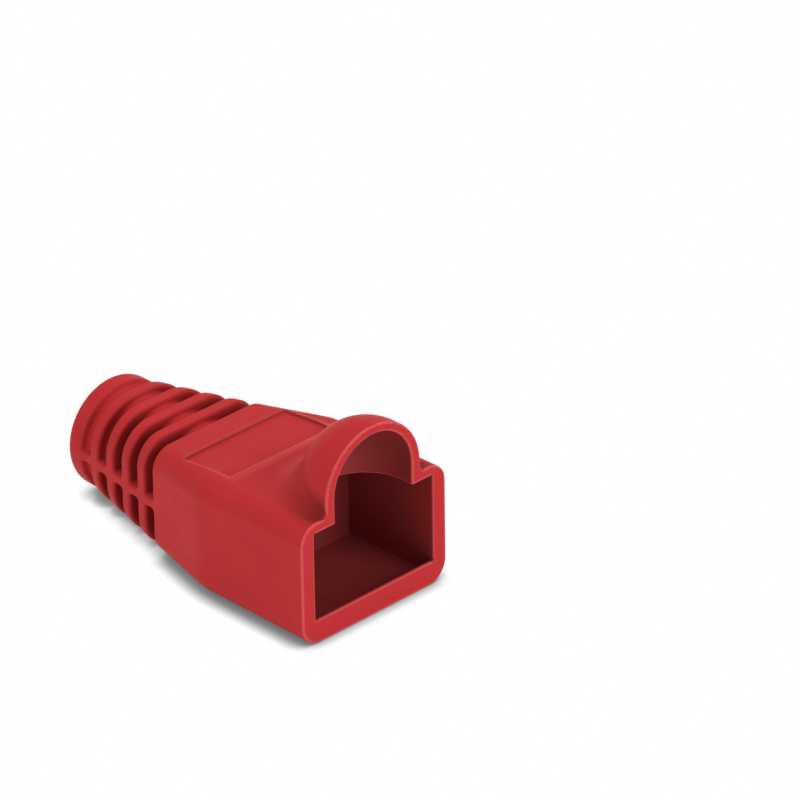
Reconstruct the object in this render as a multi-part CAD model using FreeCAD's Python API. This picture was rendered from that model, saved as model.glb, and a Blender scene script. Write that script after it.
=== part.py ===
"""Strain relief boot for an RJ45 patch cable, moulded in one piece from soft PVC.

Sizes are in millimetres. X runs from the plug mouth to the cable end, Y is the
width and Z is up. The boot is drawn with its mouth at X = 0 and its underside at
Z = 0. It is then moved along X, so that the origin is under its middle.
"""
import FreeCAD
import Part

import math
import os

V = FreeCAD.Vector
X_AXIS = V(1, 0, 0)
PAST = 1.0  # how far a cutting tool runs past the face that it opens

# Body, which is square at the mouth and tapers from a crease in its roof
boot_length = 28.0
body_width = 14.3
mouth_height = 9.8
roof_drop = 0.25  # from the mouth to the crease
shoulder_length = 6.4  # from the crease to the neck at the first groove
body_top_radius = 1.6
body_bottom_radius = 1.75

# Neck at the first groove, and the round collar at the cable end
neck_width = 11.4
neck_bottom = 0.2
neck_drop = 0.65  # from the crease to the top of the neck
neck_radius = 1.8
collar_radius = 4.38
collar_length = 2.2
collar_edge_radius = 0.65

# Ribbed sleeve: grooves that stop at a round tube and at one web on each side
groove_count = 5
groove_width = 0.96
groove_pitch = 2.03
tube_radius = 3.95
web_height = 0.86

# Cable bore
bore_radius = 2.9
bore_chamfer = 0.3
lead_in_radius = 3.6
lead_in_length = 2.0

# Plug pocket, with a lip across the bottom of the mouth
side_wall = 1.25
roof_thickness = 0.8
lip_height = 1.87
lip_length = 0.35
floor_thickness = 0.6
pocket_depth = 8.8

# Hood over the plug's latch: an arch at the mouth that closes in a dome
hood_radius = 4.66
hood_wall = 0.83
hood_side = 0.92  # upright side of the arch above the roof
dome_start = 0.8
foot_radius_front = 0.35  # inner corner between the hood's side and the roof
foot_radius_back = 3.0  # the same corner behind the dome, where it sweeps into the roof
foot_reach = 0.57  # most of that radius, as a share of the roof from the dome to the crease
hollow_rise = 0.15  # how far the hollow's crown is raised, which thins the wall there
hollow_dome_start = 1.05

# Shallow panel in the roof, across the crease
panel_ahead = 1.2  # on the mouth's side of the crease
panel_behind = 3.6
panel_width = 9.96
panel_depth = 0.25

rim_chamfer = 0.12

collar_x = boot_length - collar_length
neck_x = collar_x - groove_width / 2 - (groove_count - 1) * groove_pitch
crease_x = neck_x - shoulder_length
crease_height = mouth_height - roof_drop
neck_top = crease_height - neck_drop
bore_z = collar_radius
arch_z = mouth_height + hood_side
roof_behind_dome = crease_x - dome_start - hood_radius


def circle_point(x, y, z, radius, degrees):
    """Point on a circle in the plane across the boot at x."""
    angle = math.radians(degrees)
    return V(x, y + radius * math.cos(angle), z + radius * math.sin(angle))


def rounded_section(x, width, bottom, top, top_radius, bottom_radius):
    """Wire across the boot at x: a rectangle with rounded corners."""
    half = width / 2
    corners = (
        (half - top_radius, top - top_radius, top_radius, 0),
        (top_radius - half, top - top_radius, top_radius, 90),
        (bottom_radius - half, bottom + bottom_radius, bottom_radius, 180),
        (half - bottom_radius, bottom + bottom_radius, bottom_radius, 270),
    )
    edges = []
    for index, (y, z, radius, start) in enumerate(corners):
        first, middle, last = [
            circle_point(x, y, z, radius, start + turn) for turn in (0, 45, 90)
        ]
        edges.append(Part.Arc(first, middle, last).toShape())
        next_y, next_z, next_radius, next_start = corners[(index + 1) % 4]
        following = circle_point(x, next_y, next_z, next_radius, next_start)
        edges.append(Part.makeLine(last, following))
    return Part.Wire(edges)


def edges_at(shape, x):
    """Edges of the shape that lie in the plane across the boot at x."""
    return [
        edge for edge in shape.Edges
        if abs(edge.BoundBox.XMin - x) < 1e-4 and abs(edge.BoundBox.XMax - x) < 1e-4
    ]


def roof_height(x):
    """Height of the roof line at x, bent at the crease."""
    if x < crease_x:
        return mouth_height + (crease_height - mouth_height) * x / crease_x
    along = (x - crease_x) / (neck_x - crease_x)
    return crease_height + (neck_top - crease_height) * along


def make_body():
    """Solid outer form, tapering from the square mouth to the collar."""
    nearly_round = 0.9 * collar_radius
    sections = [
        rounded_section(0, body_width, 0, mouth_height,
                        body_top_radius, body_bottom_radius),
        rounded_section(crease_x, body_width, 0, crease_height,
                        body_top_radius, body_bottom_radius),
        rounded_section(neck_x, neck_width, neck_bottom, neck_top,
                        neck_radius, neck_radius),
        rounded_section(collar_x, 2 * collar_radius, bore_z - collar_radius,
                        bore_z + collar_radius, nearly_round, nearly_round),
    ]
    return Part.makeLoft(sections, True, True)


def make_collar():
    """Round collar at the cable end."""
    length = boot_length - collar_x
    collar = Part.makeCylinder(collar_radius, length, V(collar_x, 0, bore_z), X_AXIS)
    return collar.makeFillet(collar_edge_radius, edges_at(collar, boot_length))


def hood_form(radius, centre_z, straight, foot):
    """Arch along X that closes in a round dome, carried down to the height foot."""
    height = centre_z - foot
    end = V(straight, 0, centre_z)
    pieces = [
        Part.makeBox(straight, 2 * radius, height, V(0, -radius, foot)),
        Part.makeCylinder(radius, height, end - V(0, 0, height)),
        Part.makeSphere(radius, end),
    ]
    arch = Part.makeCylinder(radius, straight, V(0, 0, centre_z), X_AXIS)
    behind_mouth = space_from(0, -body_width, foot)
    return arch.multiFuse(pieces).common(behind_mouth).removeSplitter()


def space_from(x, y, z):
    """Box that holds everything past the corner x, y, z."""
    return Part.makeBox(boot_length, 2 * body_width, 2 * body_width, V(x, y, z))


def add_hood(body):
    """Body with the hood's outer form on the roof, and a foot that widens to the back."""
    buried = crease_height - roof_thickness / 2
    hood = hood_form(hood_radius, arch_z, dome_start, buried)
    joined = body.fuse(hood).removeSplitter()
    left = joined.common(space_from(0, 0, -PAST))
    foot = [edge for edge in left.Edges if is_dome_foot(edge)]
    radius_behind = min(foot_radius_back, foot_reach * roof_behind_dome)
    left = left.makeFillet(radius_behind, foot_radius_front, foot)
    right = left.mirror(V(0, 0, 0), V(0, 1, 0))
    return left.fuse(right).removeSplitter()


def is_dome_foot(edge):
    """True for the edge where the left half of the dome meets the roof."""
    box = edge.BoundBox
    on_roof = box.ZMin > crease_height and box.ZMax < mouth_height
    along = abs(box.XMin - dome_start) < 1e-3
    return on_roof and along and abs(box.YLength - hood_radius) < 1e-3


def pocket_box(start, bottom):
    """Box of the plug's width from start to the pocket's end wall."""
    width = body_width - 2 * side_wall
    height = mouth_height - roof_thickness - bottom
    corner = V(start, -width / 2, bottom)
    return Part.makeBox(pocket_depth - start, width, height, corner)


def make_cavity():
    """Everything that is hollow: pocket, hood, lead-in and bore."""
    mouth = pocket_box(-PAST, lip_height)
    pocket = pocket_box(lip_length, floor_thickness)
    inside = hood_radius - hood_wall
    hood = hood_form(inside, arch_z + hollow_rise, hollow_dome_start, lip_height)
    axis_start = V(pocket_depth, 0, bore_z)
    lead_in = Part.makeCone(lead_in_radius, bore_radius, lead_in_length, axis_start, X_AXIS)
    bore = Part.makeCylinder(bore_radius, boot_length, axis_start, X_AXIS)
    return mouth.multiFuse([pocket, hood, lead_in, bore])


def make_panel():
    """Tool for the shallow panel, whose floor follows the roof line."""
    panel_start = crease_x - panel_ahead
    panel_end = crease_x + panel_behind
    stations = (panel_start, crease_x, panel_end)
    floor = [V(x, -panel_width / 2, roof_height(x) - panel_depth) for x in stations]
    above = [V(x, -panel_width / 2, mouth_height + PAST) for x in (panel_end, panel_start)]
    outline = Part.makePolygon(floor + above + floor[:1])
    return Part.Face(outline).extrude(V(0, panel_width, 0))


def make_grooves():
    """Tools for the grooves round the sleeve."""
    span = body_width + 2 * PAST
    slabs = [
        Part.makeBox(groove_width, span, span,
                     V(neck_x + index * groove_pitch, -span / 2, bore_z - span / 2))
        for index in range(groove_count)
    ]
    tube = Part.makeCylinder(tube_radius, boot_length, V(0, 0, bore_z), X_AXIS)
    webs = Part.makeBox(boot_length, span, web_height,
                        V(0, -span / 2, bore_z - web_height / 2))
    return [slab.cut(tube).cut(webs) for slab in slabs]


def make_boot():
    """The finished boot, with the sharpness taken off its mouth rim and bore."""
    boot = add_hood(make_body()).fuse(make_collar())
    boot = boot.cut([make_cavity(), make_panel()] + make_grooves()).removeSplitter()
    boot = boot.makeChamfer(rim_chamfer, edges_at(boot, 0))
    boot = boot.makeChamfer(bore_chamfer, edges_at(boot, boot_length))
    boot.translate(V(-boot_length / 2, 0, 0))
    return boot


boot = make_boot()
os.makedirs("parts", exist_ok=True)
boot.exportStep("parts/boot.step")
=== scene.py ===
import math

import bpy
import numpy as np
from mathutils import Matrix, Vector


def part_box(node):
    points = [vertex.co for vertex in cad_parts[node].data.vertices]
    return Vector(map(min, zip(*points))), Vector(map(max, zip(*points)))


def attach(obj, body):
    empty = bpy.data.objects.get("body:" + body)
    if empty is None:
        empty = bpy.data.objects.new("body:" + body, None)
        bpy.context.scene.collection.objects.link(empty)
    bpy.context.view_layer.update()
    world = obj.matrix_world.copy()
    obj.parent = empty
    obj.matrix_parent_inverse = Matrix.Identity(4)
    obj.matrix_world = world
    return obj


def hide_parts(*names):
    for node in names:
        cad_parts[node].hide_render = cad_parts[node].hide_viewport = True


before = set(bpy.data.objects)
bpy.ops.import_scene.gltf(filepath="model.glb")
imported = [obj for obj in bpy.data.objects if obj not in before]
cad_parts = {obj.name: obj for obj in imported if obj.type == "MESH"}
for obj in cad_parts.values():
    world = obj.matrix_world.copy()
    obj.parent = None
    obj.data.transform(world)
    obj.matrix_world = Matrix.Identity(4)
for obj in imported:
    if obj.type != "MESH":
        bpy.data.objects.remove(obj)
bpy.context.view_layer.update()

low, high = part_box("boot")

# ---------------------------------------------------------------- camera
# In metres, on a floor frame of its own: the camera looks along +Y, with the boot ahead.
PITCH = math.radians(29.09)
ROLL = math.radians(-0.79)
YAW = math.radians(134.29)
CAMERA_HEIGHT = 0.23785
BOOT_AHEAD = 0.3961
BOOT_ASIDE = -0.00194
SENSOR_WIDTH = 36
LENS = 290.061


def add_camera():
    """Camera at a product shot's distance, looking down at the mouth and one side."""
    forward = Vector((0, math.cos(PITCH), -math.sin(PITCH)))
    right = Vector((1, 0, 0))
    up = Vector((0, math.sin(PITCH), math.cos(PITCH)))
    rolled_right = math.cos(ROLL) * right + math.sin(ROLL) * up
    rolled_up = -math.sin(ROLL) * right + math.cos(ROLL) * up
    seen = Matrix.Identity(4)
    for row in range(3):
        seen[row][0] = rolled_right[row]
        seen[row][1] = rolled_up[row]
        seen[row][2] = -forward[row]
    seen[2][3] = CAMERA_HEIGHT
    boot_place = (Matrix.Translation((BOOT_ASIDE, BOOT_AHEAD, 0))
                  @ Matrix.Rotation(YAW, 4, "Z")
                  @ Matrix.Translation((-low.x, 0, 0)))
    data = bpy.data.cameras.new("camera")
    camera = bpy.data.objects.new("camera", data)
    bpy.context.scene.collection.objects.link(camera)
    camera.matrix_world = boot_place.inverted() @ seen
    data.sensor_width = SENSOR_WIDTH
    data.lens = LENS
    data.clip_start = 0.01
    data.clip_end = 10
    bpy.context.scene.camera = camera


# ---------------------------------------------------------------- form of the boot
# In millimetres. X runs back from the mouth, Y across and Z up, along the CAD's axes.
# A field is negative inside its form and measures distance near its surface.
MM = 0.001
LENGTH = (high.x - low.x) / MM
WIDTH = (high.y - low.y) / MM
MOUTH_TOP = 9.8
CREASE_TOP = 9.55
NECK_WIDTH = 11.4
NECK_BOTTOM = 0.2
NECK_TOP = 8.9
NECK_ROUND = 1.8
TOP_ROUND = 1.6
BOTTOM_ROUND = 1.75
COLLAR_RADIUS = 4.38
COLLAR_ROUND = 0.65
NEARLY_ROUND = 0.9 * COLLAR_RADIUS
CREASE_EASE = 0.6
CREASE_SHIFTS = 5
GROOVES = 5
GROOVE_WIDTH = 0.96
GROOVE_PITCH = 2.03
TUBE_RADIUS = 3.95
WEB_HEIGHT = 0.86
COLLAR_X = LENGTH - 2.2
NECK_X = COLLAR_X - GROOVE_WIDTH / 2 - (GROOVES - 1) * GROOVE_PITCH
CREASE_X = NECK_X - 6.4
AXIS_Z = COLLAR_RADIUS
BORE_RADIUS = 2.9
LEAD_IN_RADIUS = 3.6
LEAD_IN_LENGTH = 2.0
BORE_OVERLAP = 1.0
POCKET_DEPTH = 8.8
POCKET_HALF = WIDTH / 2 - 1.25
CEILING = MOUTH_TOP - 0.8
LIP_HEIGHT = 1.87
LIP_LENGTH = 0.35
FLOOR_TOP = 0.6
HOOD_RADIUS = 4.66
HOOD_HOLLOW = HOOD_RADIUS - 0.83
HOOD_Z = MOUTH_TOP + 0.92
HOLLOW_Z = HOOD_Z + 0.15
DOME_START = 0.8
HOLLOW_DOME_START = 1.05
FOOT_FRONT = 0.35
FOOT_BACK = 3.0
PANEL_START = CREASE_X - 1.2
PANEL_END = CREASE_X + 3.6
PANEL_HALF = 4.98
PANEL_DEPTH = 0.25

# Radii that a mould leaves at the edges of soft plastic
RIM_EDGE = 0.13
RIB_EDGE = 0.28
WEB_CORNER = 0.2
PANEL_EDGE = 0.17
PANEL_FOOT = 0.15
BORE_EDGE = 0.34
INNER_EDGE = 0.16
LIP_EDGE = 0.08
NEVER_ZERO = 1e-6


def cut(a, b, radius):
    """Overlap of two fields, with their edge rounded."""
    past_a = np.maximum(a + radius, 0)
    past_b = np.maximum(b + radius, 0)
    rounded = np.sqrt(past_a * past_a + past_b * past_b)
    return np.minimum(np.maximum(a, b), -radius) + rounded


def join(a, b, radius):
    """Union of two fields, with their inner corner filled to a radius."""
    return -cut(-a, -b, radius)


def body_field(x, y, z):
    """Outer form: rounded rectangles that shrink to a round collar."""
    stations = (0, CREASE_X, NECK_X, COLLAR_X)
    halves = (WIDTH / 2, WIDTH / 2, NECK_WIDTH / 2, COLLAR_RADIUS)
    bottoms = (0, 0, NECK_BOTTOM, AXIS_Z - COLLAR_RADIUS)
    tops = (MOUTH_TOP, CREASE_TOP, NECK_TOP, AXIS_Z + COLLAR_RADIUS)
    upper_rounds = (TOP_ROUND, TOP_ROUND, NECK_ROUND, NEARLY_ROUND)
    lower_rounds = (BOTTOM_ROUND, BOTTOM_ROUND, NECK_ROUND, NEARLY_ROUND)
    shifts = np.linspace(-CREASE_EASE, CREASE_EASE, CREASE_SHIFTS)
    half = sum(np.interp(x + shift, stations, halves) for shift in shifts) / CREASE_SHIFTS
    bottom = np.interp(x, stations, bottoms)
    top = np.interp(x, stations, tops)
    over = np.interp(x, stations, upper_rounds)
    under = np.interp(x, stations, lower_rounds)
    middle = (bottom + top) / 2
    corner = np.where(z > middle, over, under)
    out_y = np.abs(y) - half + corner
    out_z = np.abs(z - middle) - (top - bottom) / 2 + corner
    outside = np.sqrt(np.maximum(out_y, 0) ** 2 + np.maximum(out_z, 0) ** 2)
    shell = outside + np.minimum(np.maximum(out_y, out_z), 0) - corner
    collar = np.sqrt(y * y + (z - AXIS_Z) ** 2) - COLLAR_RADIUS
    turned_round = np.clip((x - COLLAR_X) / GROOVE_WIDTH + 0.5, 0, 1)
    skin = shell + (collar - shell) * turned_round
    return cut(skin, x - LENGTH, COLLAR_ROUND)


def dome_field(x, y, z, radius, centre_z, start):
    """Arch that closes behind in a round dome, with upright walls below its centre."""
    back = np.maximum(x - start, 0)
    up = np.maximum(z - centre_z, 0)
    dome = np.sqrt(back * back + y * y + up * up) - radius
    return np.maximum(dome, AXIS_Z - z)


def cavity_field(x, y, z):
    """Plug pocket behind its lip, and the hollow under the hood."""
    behind_lip = cut(FLOOR_TOP - z, LIP_LENGTH - x, INNER_EDGE / 2)
    floor = join(LIP_HEIGHT - z, behind_lip, LIP_EDGE)
    across = np.abs(y) - POCKET_HALF
    pocket = cut(across, np.maximum(floor, z - CEILING), INNER_EDGE)
    pocket = cut(pocket, x - POCKET_DEPTH, INNER_EDGE / 2)
    hollow = dome_field(x, y, z, HOOD_HOLLOW, HOLLOW_Z, HOLLOW_DOME_START)
    return join(pocket, hollow, INNER_EDGE / 2)


def bore_field(x, y, z):
    """Cable bore, with its tapered lead-in."""
    ends = (POCKET_DEPTH, POCKET_DEPTH + LEAD_IN_LENGTH)
    radius = np.interp(x, ends, (LEAD_IN_RADIUS, BORE_RADIUS))
    hole = np.sqrt(y * y + (z - AXIS_Z) ** 2) - radius
    return np.maximum(hole, POCKET_DEPTH - BORE_OVERLAP - x)


def groove_field(x, y, z):
    """Grooves that stop at the inner tube and at a web on each side."""
    along = x - NECK_X - GROOVE_WIDTH / 2
    nearest = np.clip(np.round(along / GROOVE_PITCH), 0, GROOVES - 1)
    slot = np.abs(along - nearest * GROOVE_PITCH) - GROOVE_WIDTH / 2
    web = WEB_HEIGHT / 2 - np.abs(z - AXIS_Z)
    tube = TUBE_RADIUS - np.sqrt(y * y + (z - AXIS_Z) ** 2)
    return cut(cut(slot, web, WEB_CORNER), tube, RIB_EDGE)


def roof_height(x):
    """Height of the flat roof along the boot."""
    return np.interp(x, (0, CREASE_X, NECK_X), (MOUTH_TOP, CREASE_TOP, NECK_TOP))


def panel_outline(x, y):
    """Panel's outline as seen from above."""
    along = np.maximum(PANEL_START - x, x - PANEL_END)
    return cut(np.abs(y) - PANEL_HALF, along, PANEL_EDGE)


def panel_field(x, y, z):
    """Shallow panel in the roof, whose floor follows the roof line."""
    return cut(panel_outline(x, y), roof_height(x) - PANEL_DEPTH - z, PANEL_FOOT)


def hood_field(x, y, z):
    """Outer form of the latch hood."""
    return dome_field(x, y, z, HOOD_RADIUS, HOOD_Z, DOME_START)


def behind_hood(x, y):
    """How far round the hood a place lies: 0 beside the mouth, 1 straight behind."""
    back = np.maximum(x, 0)
    return back / np.sqrt(back * back + y * y + NEVER_ZERO)


def boot_field(x, y, z):
    """The whole boot."""
    foot = FOOT_FRONT + (FOOT_BACK - FOOT_FRONT) * behind_hood(x, y)
    outer = join(body_field(x, y, z), hood_field(x, y, z), foot)
    outer = cut(outer, -x, RIM_EDGE)
    outer = cut(outer, -panel_field(x, y, z), PANEL_EDGE)
    outer = cut(outer, -groove_field(x, y, z), RIB_EDGE)
    outer = cut(outer, -cavity_field(x, y, z), RIM_EDGE)
    return cut(outer, -bore_field(x, y, z), BORE_EDGE)


# ---------------------------------------------------------------- field to mesh
GRID_STEP = 0.1
# Not a whole number, so that no flat face of the boot lies in a plane of the grid
MARGIN_STEPS = 2.3
MOST_TRIANGLES = 190000
SLOPE_REACH = 0.004
LEAST_SLOPE = 0.5
LONGEST_MOVE = 0.05
CORNERS = [(i, j, k) for i in (0, 1) for j in (0, 1) for k in (0, 1)]


def sample_field(step):
    """Field values on a grid that clears the boot all round, and the grid's corner."""
    margin = MARGIN_STEPS * step
    height = (high.z - low.z) / MM
    start = np.array([-margin, -WIDTH / 2 - margin, -margin])
    end = np.array([LENGTH + margin, WIDTH / 2 + margin, height + margin])
    counts = np.ceil((end - start) / step).astype(int) + 1
    axes = [start[axis] + step * np.arange(counts[axis]) for axis in range(3)]
    values = np.empty(counts, np.float32)
    for index, x in enumerate(axes[0]):
        y, z = np.meshgrid(axes[1], axes[2], indexing="ij")
        values[index] = boot_field(np.full_like(y, x), y, z)
    return values, start


def crossed_cells(inside):
    """Cells of the grid that the surface passes through."""
    along, across, up = np.array(inside.shape) - 1
    count = np.zeros((along, across, up), np.int8)
    for i, j, k in CORNERS:
        count += inside[i:i + along, j:j + across, k:k + up]
    return np.argwhere((count > 0) & (count < len(CORNERS)))


def cell_points(values, cells):
    """Mean place at which the surface crosses the edges of each cell, in grid steps."""
    total = np.zeros((len(cells), 3))
    crossings = np.zeros((len(cells), 1))
    for first in CORNERS:
        for axis in range(3):
            if first[axis]:
                continue
            second = tuple(first[i] + (i == axis) for i in range(3))
            a = values[tuple((cells + first).T)].astype(float)
            b = values[tuple((cells + second).T)].astype(float)
            crossed = (a < 0) != (b < 0)
            part = np.where(crossed, a / np.where(crossed, a - b, 1), 0)
            point = np.array(first, float)[None, :].repeat(len(cells), 0)
            point[:, axis] += part
            total += point * crossed[:, None]
            crossings += crossed[:, None]
    return cells + total / crossings


def net_quads(inside, number):
    """Quads that join the four cells round each grid edge that the surface crosses."""
    quads = []
    for axis in range(3):
        side, other = (axis + 1) % 3, (axis + 2) % 3
        low_end = [slice(None)] * 3
        high_end = [slice(None)] * 3
        low_end[axis] = slice(0, -1)
        high_end[axis] = slice(1, None)
        enters = inside[tuple(low_end)] & ~inside[tuple(high_end)]
        leaves = ~inside[tuple(low_end)] & inside[tuple(high_end)]
        for found, turned in ((enters, False), (leaves, True)):
            at_edge = np.argwhere(found)
            ring = []
            for step_side, step_other in ((0, 0), (-1, 0), (-1, -1), (0, -1)):
                cell = at_edge.copy()
                cell[:, side] += step_side
                cell[:, other] += step_other
                ring.append(number[tuple(cell.T)])
            face = np.stack(ring, 1)
            quads.append(face[:, ::-1] if turned else face)
    return np.concatenate(quads)


def surface_net(values, start, step):
    """Points and quads of a net with one point in each cell that the surface crosses."""
    inside = values < 0
    cells = crossed_cells(inside)
    number = np.full(np.array(values.shape) - 1, -1, np.int32)
    number[tuple(cells.T)] = np.arange(len(cells))
    return start + step * cell_points(values, cells), net_quads(inside, number)


def gradient(points):
    """Slope of the boot's field at each point."""
    slope = np.empty_like(points)
    for axis in range(3):
        ahead = points.copy()
        behind = points.copy()
        ahead[:, axis] += SLOPE_REACH
        behind[:, axis] -= SLOPE_REACH
        rise = boot_field(*ahead.T) - boot_field(*behind.T)
        slope[:, axis] = rise / (2 * SLOPE_REACH)
    return slope


def settle(points, rounds):
    """Move points along the slope until they lie on the surface."""
    for _ in range(rounds):
        slope = gradient(points)
        steepness = np.maximum((slope ** 2).sum(1), LEAST_SLOPE ** 2)
        move = (boot_field(*points.T) / steepness)[:, None] * slope
        points = points - np.clip(move, -LONGEST_MOVE, LONGEST_MOVE)
    return points


def mesh_from(points, quads):
    """Blender mesh of the quads, still in millimetres."""
    mesh = bpy.data.meshes.new("boot_skin")
    mesh.vertices.add(len(points))
    mesh.vertices.foreach_set("co", points.astype(np.float32).ravel())
    mesh.loops.add(quads.size)
    mesh.loops.foreach_set("vertex_index", quads.astype(np.int32).ravel())
    mesh.polygons.add(len(quads))
    mesh.polygons.foreach_set("loop_start", np.arange(0, quads.size, 4, dtype=np.int32))
    mesh.update(calc_edges=True)
    mesh.validate()
    return mesh


def thin_out(skin, triangles):
    """Bring the skin, of so many triangles, down to the most that it may have."""
    thin = skin.modifiers.new("thin", "DECIMATE")
    thin.ratio = MOST_TRIANGLES / triangles
    bpy.context.view_layer.update()
    shown = skin.evaluated_get(bpy.context.evaluated_depsgraph_get())
    mesh = bpy.data.meshes.new_from_object(shown)
    skin.modifiers.clear()
    skin.data = mesh
    mesh.name = "boot_skin"


# ---------------------------------------------------------------- where colours change
# Numbers from 0 to 1 at the mesh's points, which the material reads to place painted
# highlights and painted shade. Bends are in 1/mm.
BEND_REACH = 0.03
SOFT_BEND = 4.6
SHARP_BEND = 6.2
PANEL_LINE = 0.15
LINE_REACH = 0.4
FADE_LENGTH = 0.6
LINE_SHARES = (1.0, 0.6, 0.2)
FOOT_REACH = 1.9
POCKET_REACH = 0.2
GROOVE_REACH = 0.1


def edge_bend(points):
    """How sharply the surface turns at each point, 1/mm: positive on outer edges."""
    total = -6 * boot_field(*points.T)
    for axis in range(3):
        for side in (-BEND_REACH, BEND_REACH):
            moved = points.copy()
            moved[:, axis] += side
            total += boot_field(*moved.T)
    return total / BEND_REACH ** 2


def edge_highlight_shares(points):
    """Share of the painted highlight: on sharp outer edges, and on the roof round the
    panel.

    The panel's painted highlight line is strongest at its front edge and fades towards
    the cable end.
    """
    sharp = (edge_bend(points) - SOFT_BEND) / (SHARP_BEND - SOFT_BEND)
    x, y, z = points.T
    outline = panel_outline(x, y)
    line = np.maximum(1 - np.abs(outline / PANEL_LINE - 1), sharp)
    stations = (PANEL_START, PANEL_END - FADE_LENGTH, PANEL_END)
    fade = np.interp(x, stations, LINE_SHARES)
    on_roof = z > roof_height(x) - 2 * PANEL_DEPTH
    at_panel = on_roof & (np.abs(outline) < LINE_REACH)
    return np.clip(np.where(at_panel, line * fade, sharp), 0, 1)


def hood_foot_shade(points):
    """Share of painted shade at the hood's foot: nearness to the foot, behind the rim,
    fading where the foot gets wide.
    """
    x, y, z = points.T
    away = np.maximum(np.abs(body_field(x, y, z)), np.abs(hood_field(x, y, z)))
    near = np.clip(1 - away / FOOT_REACH, 0, 1) * np.clip(x / FOOT_FRONT, 0, 1)
    return near * (1 - behind_hood(x, y))


def closeness(field, points, reach):
    """One on the surface of a cut-out, falling to nothing at the reach."""
    return np.clip(1 - np.abs(field(*points.T)) / reach, 0, 1)


def add_attribute(mesh, name, values):
    """Store a number at each point of the mesh for its material."""
    attribute = mesh.attributes.new(name, "FLOAT", "POINT")
    attribute.data.foreach_set("value", values.astype(np.float32))


# ---------------------------------------------------------------- the boot's skin
def add_boot():
    """Boot with true rounded edges, in place of the faceted CAD solid."""
    step = GRID_STEP
    values, start = sample_field(step)
    points, quads = surface_net(values, start, step)
    points = settle(points, rounds=2)
    skin = bpy.data.objects.new("boot_skin", mesh_from(points, quads))
    bpy.context.scene.collection.objects.link(skin)
    triangles = 2 * len(quads)
    if triangles > MOST_TRIANGLES:
        thin_out(skin, triangles)
    mesh = skin.data
    points = np.empty(3 * len(mesh.vertices), np.float32)
    mesh.vertices.foreach_get("co", points)
    points = settle(points.reshape(-1, 3).astype(float), rounds=3)
    normals = gradient(points)
    normals /= np.linalg.norm(normals, axis=1)[:, None]
    place = points * MM + np.array([low.x, 0, low.z])
    mesh.vertices.foreach_set("co", place.astype(np.float32).ravel())
    mesh.polygons.foreach_set("use_smooth", np.ones(len(mesh.polygons), bool))
    mesh.update()
    mesh.normals_split_custom_set_from_vertices(normals.astype(np.float32).tolist())
    # Masks for the painted highlights and the painted shade, which the material reads.
    add_attribute(mesh, "edge_highlight", edge_highlight_shares(points))
    add_attribute(mesh, "hood_foot_shade", hood_foot_shade(points))
    add_attribute(mesh, "in_pocket", closeness(cavity_field, points, POCKET_REACH))
    add_attribute(mesh, "in_groove", closeness(groove_field, points, GROOVE_REACH))
    return skin


# ---------------------------------------------------------------- material helpers
OPENNESS_SAMPLES = 16


def new_material(name):
    """Material with an empty node tree but for its output, and that tree."""
    material = bpy.data.materials.new(name)
    material.use_nodes = True
    tree = material.node_tree
    tree.nodes.clear()
    return material, tree, tree.nodes.new("ShaderNodeOutputMaterial")


def ramp(tree, value, stops):
    """Colour ramp over a value, with grey or coloured stops."""
    node = tree.nodes.new("ShaderNodeValToRGB")
    points = node.color_ramp.elements
    while len(points) < len(stops):
        points.new(0.5)
    for point, (position, colour) in zip(points, stops):
        point.position = position
        if not isinstance(colour, tuple):
            colour = (colour, colour, colour)
        point.color = (*colour, 1)
    tree.links.new(value, node.inputs[0])
    return node.outputs[0]


def openness_node(tree, reach):
    """Node that tells how open the space over a place is, within the reach in metres."""
    node = tree.nodes.new("ShaderNodeAmbientOcclusion")
    node.samples = OPENNESS_SAMPLES
    node.inputs["Distance"].default_value = reach
    return node


def attribute(tree, name):
    """Number stored at the mesh's points."""
    node = tree.nodes.new("ShaderNodeAttribute")
    node.attribute_name = name
    return node.outputs["Fac"]


def noise(tree, place, scale, detail):
    """Soft procedural noise in the object's own space."""
    node = tree.nodes.new("ShaderNodeTexNoise")
    node.inputs["Scale"].default_value = scale
    node.inputs["Detail"].default_value = detail
    tree.links.new(place, node.inputs["Vector"])
    return node.outputs["Fac"]


def map_range(tree, value, low_in, high_in, low_out, high_out):
    """Value carried from one range to another, clamped."""
    node = tree.nodes.new("ShaderNodeMapRange")
    node.inputs["From Min"].default_value = low_in
    node.inputs["From Max"].default_value = high_in
    node.inputs["To Min"].default_value = low_out
    node.inputs["To Max"].default_value = high_out
    tree.links.new(value, node.inputs["Value"])
    return node.outputs["Result"]


def blend_colours(tree, share, first, second, mode="MIX"):
    """Mix of two colours, each a constant or a node's output."""
    node = tree.nodes.new("ShaderNodeMix")
    node.data_type = "RGBA"
    node.blend_type = mode
    for name, colour in (("A", first), ("B", second)):
        socket = next(s for s in node.inputs if s.name == name and s.type == "RGBA")
        if isinstance(colour, tuple):
            socket.default_value = (*colour, 1)
        else:
            tree.links.new(colour, socket)
    factor = node.inputs["Factor"]
    if isinstance(share, float):
        factor.default_value = share
    else:
        tree.links.new(share, factor)
    return next(s for s in node.outputs if s.type == "RGBA")
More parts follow.
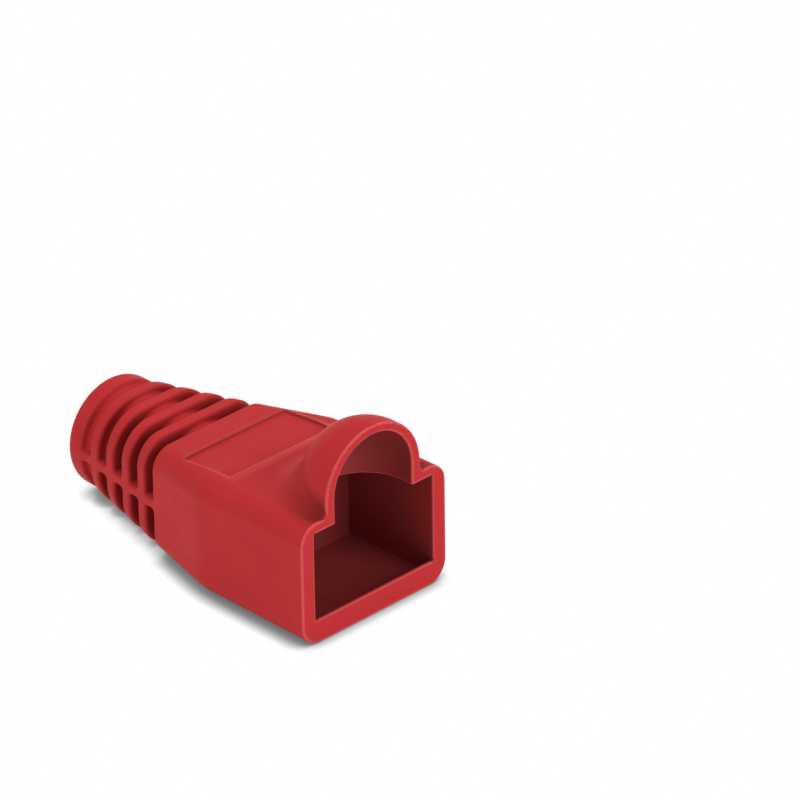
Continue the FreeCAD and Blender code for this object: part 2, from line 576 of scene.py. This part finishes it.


# ---------------------------------------------------------------- the boot's plastic
# Each ramp paints shade: it runs over how open a place is, from 0 in a deep hollow to 1
# in the open, and darkens the red where the place is closed in.
HOLLOW_REACH = 0.009
PVC_RED = (0.50, 0.027, 0.030)
SKIN_SHADE_COLOURS = (
    (0.6, (0.29, 0.026, 0.026)),
    (0.82, (0.32, 0.026, 0.026)),
    (0.9, PVC_RED),
)
GROOVE_SHADE_COLOURS = (
    (0.3, (0.32, 0.024, 0.024)),
    (0.5, (0.44, 0.024, 0.025)),
    (0.75, PVC_RED),
)
POCKET_SHADE_COLOURS = (
    (0.0, (0.30, 0.040, 0.041)),
    (0.5, (0.30, 0.039, 0.039)),
    (0.66, (0.27, 0.034, 0.034)),
    (0.82, (0.33, 0.028, 0.028)),
    (0.94, PVC_RED),
)
# Painted shade: dark red for the crease at the hood's foot.
FOOT_SHADE_COLOUR = (0.19, 0.012, 0.011)
# Painted highlight: paler red along sharp edges and round the panel.
EDGE_HIGHLIGHT_COLOUR = (0.68, 0.095, 0.10)
EDGE_HIGHLIGHT_SHARE = 0.8
MOTTLE_SCALE = 260.0
NOISE_LOW = 0.3
NOISE_HIGH = 0.7
MOTTLE_SHADES = ((NOISE_LOW, 0.96), (NOISE_HIGH, 1.04))
GLOSS_SCALE = 700.0
GLOSSIEST = 0.42
DULLEST = 0.52
GRAIN_SCALE = 5200.0
GRAIN_STRENGTH = 0.12
GRAIN_DEPTH = 0.00003
SPECULAR = 0.05


def pvc_material():
    """Satin red soft PVC, with painted shade where the form closes in and painted
    highlights along its edges.
    """
    material, tree, output = new_material("soft_pvc_red")
    shader = tree.nodes.new("ShaderNodeBsdfPrincipled")
    place = tree.nodes.new("ShaderNodeTexCoord").outputs["Object"]
    openness = openness_node(tree, HOLLOW_REACH)
    openness.only_local = True
    open_here = openness.outputs["AO"]
    # Painted shade: the red darkens where little space is open over the surface.
    colour = ramp(tree, open_here, SKIN_SHADE_COLOURS)
    # Painted shade in the crease at the hood's foot.
    colour = blend_colours(tree, attribute(tree, "hood_foot_shade"), colour, FOOT_SHADE_COLOUR)
    # Painted shade in the grooves and in the plug pocket.
    for name, colours in (("in_groove", GROOVE_SHADE_COLOURS), ("in_pocket", POCKET_SHADE_COLOURS)):
        within = ramp(tree, open_here, colours)
        colour = blend_colours(tree, attribute(tree, name), colour, within)
    mottle = ramp(tree, noise(tree, place, MOTTLE_SCALE, detail=3.0), MOTTLE_SHADES)
    colour = blend_colours(tree, 1.0, colour, mottle, "MULTIPLY")
    # Painted highlight along sharp edges and round the panel.
    painted_highlight = map_range(tree, attribute(tree, "edge_highlight"), 0.0, 1.0, 0.0, EDGE_HIGHLIGHT_SHARE)
    colour = blend_colours(tree, painted_highlight, colour, EDGE_HIGHLIGHT_COLOUR)
    tree.links.new(colour, shader.inputs["Base Color"])
    uneven = noise(tree, place, GLOSS_SCALE, detail=4.0)
    dull = map_range(tree, uneven, NOISE_LOW, NOISE_HIGH, GLOSSIEST, DULLEST)
    tree.links.new(dull, shader.inputs["Roughness"])
    bump = tree.nodes.new("ShaderNodeBump")
    bump.inputs["Strength"].default_value = GRAIN_STRENGTH
    bump.inputs["Distance"].default_value = GRAIN_DEPTH
    grain = noise(tree, place, GRAIN_SCALE, detail=2.0)
    tree.links.new(grain, bump.inputs["Height"])
    tree.links.new(bump.outputs["Normal"], shader.inputs["Normal"])
    shader.inputs["Specular IOR Level"].default_value = SPECULAR
    tree.links.new(shader.outputs[0], output.inputs["Surface"])
    return material


# ---------------------------------------------------------------- stage
CONTACT_REACH = 0.0018
CONTACT_SHADES = ((0.0, 0.08), (0.4, 0.25), (0.6, 0.6), (0.8, 1.0))
TABLE_SIZE = 4
TABLE_COLOUR = (0.9, 0.9, 0.9)
TABLE_ROUGHNESS = 0.9
TABLE_SPECULAR = 0.1
TABLE_GLOW = 0.15
WHITE = (1, 1, 1)
FILL_LIGHT = 0.36
LAMP_DISTANCE = 0.45
IMAGE_RIGHT = Vector((math.cos(YAW), -math.sin(YAW), 0))
TO_CAMERA = Vector((-math.sin(YAW), -math.cos(YAW), 0))
MIDDLE = Vector((0, 0, (low.z + high.z) / 2))


def sees_backdrop(tree):
    """One for rays that show the backdrop: direct, mirrored or passed through."""
    path = tree.nodes.new("ShaderNodeLightPath")
    seen = path.outputs["Is Camera Ray"]
    for name in ("Is Glossy Ray", "Is Transmission Ray"):
        either = tree.nodes.new("ShaderNodeMath")
        either.operation = "MAXIMUM"
        tree.links.new(seen, either.inputs[0])
        tree.links.new(path.outputs[name], either.inputs[1])
        seen = either.outputs[0]
    return seen


def floor_material():
    """White table: bright to the camera, with a painted contact shadow only where the
    boot nearly touches it.
    """
    material, tree, output = new_material("floor_white")
    openness = openness_node(tree, CONTACT_REACH)
    seen = tree.nodes.new("ShaderNodeEmission")
    # Painted contact shadow: the table's colour to the camera darkens where little space
    # is open over it.
    shade = ramp(tree, openness.outputs["AO"], CONTACT_SHADES)
    tree.links.new(shade, seen.inputs["Color"])
    table = tree.nodes.new("ShaderNodeBsdfPrincipled")
    table.inputs["Base Color"].default_value = (*TABLE_COLOUR, 1)
    table.inputs["Roughness"].default_value = TABLE_ROUGHNESS
    table.inputs["Specular IOR Level"].default_value = TABLE_SPECULAR
    table.inputs["Emission Color"].default_value = (*WHITE, 1)
    table.inputs["Emission Strength"].default_value = TABLE_GLOW
    mix = tree.nodes.new("ShaderNodeMixShader")
    tree.links.new(sees_backdrop(tree), mix.inputs[0])
    tree.links.new(table.outputs[0], mix.inputs[1])
    tree.links.new(seen.outputs[0], mix.inputs[2])
    tree.links.new(mix.outputs[0], output.inputs["Surface"])
    return material


def add_floor():
    """Pale table under the boot."""
    bpy.ops.mesh.primitive_plane_add(size=TABLE_SIZE, location=(0, 0, 0))
    floor = bpy.context.object
    floor.name = "floor"
    floor.data.materials.append(floor_material())


def add_world():
    """Even fill from all round, and a pale backdrop past the table."""
    world = bpy.data.worlds.new("studio")
    bpy.context.scene.world = world
    world.use_nodes = True
    tree = world.node_tree
    background = tree.nodes["Background"]
    background.inputs["Color"].default_value = (*WHITE, 1)
    background.inputs["Strength"].default_value = FILL_LIGHT
    backdrop = tree.nodes.new("ShaderNodeBackground")
    mix = tree.nodes.new("ShaderNodeMixShader")
    tree.links.new(sees_backdrop(tree), mix.inputs[0])
    tree.links.new(background.outputs[0], mix.inputs[1])
    tree.links.new(backdrop.outputs[0], mix.inputs[2])
    output = tree.nodes["World Output"]
    tree.links.new(mix.outputs[0], output.inputs["Surface"])


def add_softbox(name, right, front, elevation, level, size):
    """Square softbox facing the boot. At level 1 it lights a white card to white."""
    data = bpy.data.lights.new(name, "AREA")
    data.size = size
    data.energy = level * (math.pi * LAMP_DISTANCE) ** 2
    lamp = bpy.data.objects.new(name, data)
    bpy.context.scene.collection.objects.link(lamp)
    flat = (right * IMAGE_RIGHT + front * TO_CAMERA).normalized()
    angle = math.radians(elevation)
    aim = flat * math.cos(angle) + Vector((0, 0, math.sin(angle)))
    lamp.location = MIDDLE + aim * LAMP_DISTANCE
    lamp.rotation_euler = aim.to_track_quat("Z", "Y").to_euler()


add_camera()
add_floor()
add_world()
add_softbox("mouth_side", right=0.8, front=0.6, elevation=28, level=0.43, size=0.25)
add_softbox("left_side", right=-0.85, front=0.3, elevation=35, level=0.3, size=0.3)
add_softbox("top", right=0.6, front=-0.6, elevation=65, level=0.45, size=0.25)

boot = add_boot()
boot.data.materials.append(pvc_material())
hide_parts("boot")
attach(boot, "root")

bpy.context.scene.view_settings.view_transform = "Standard"
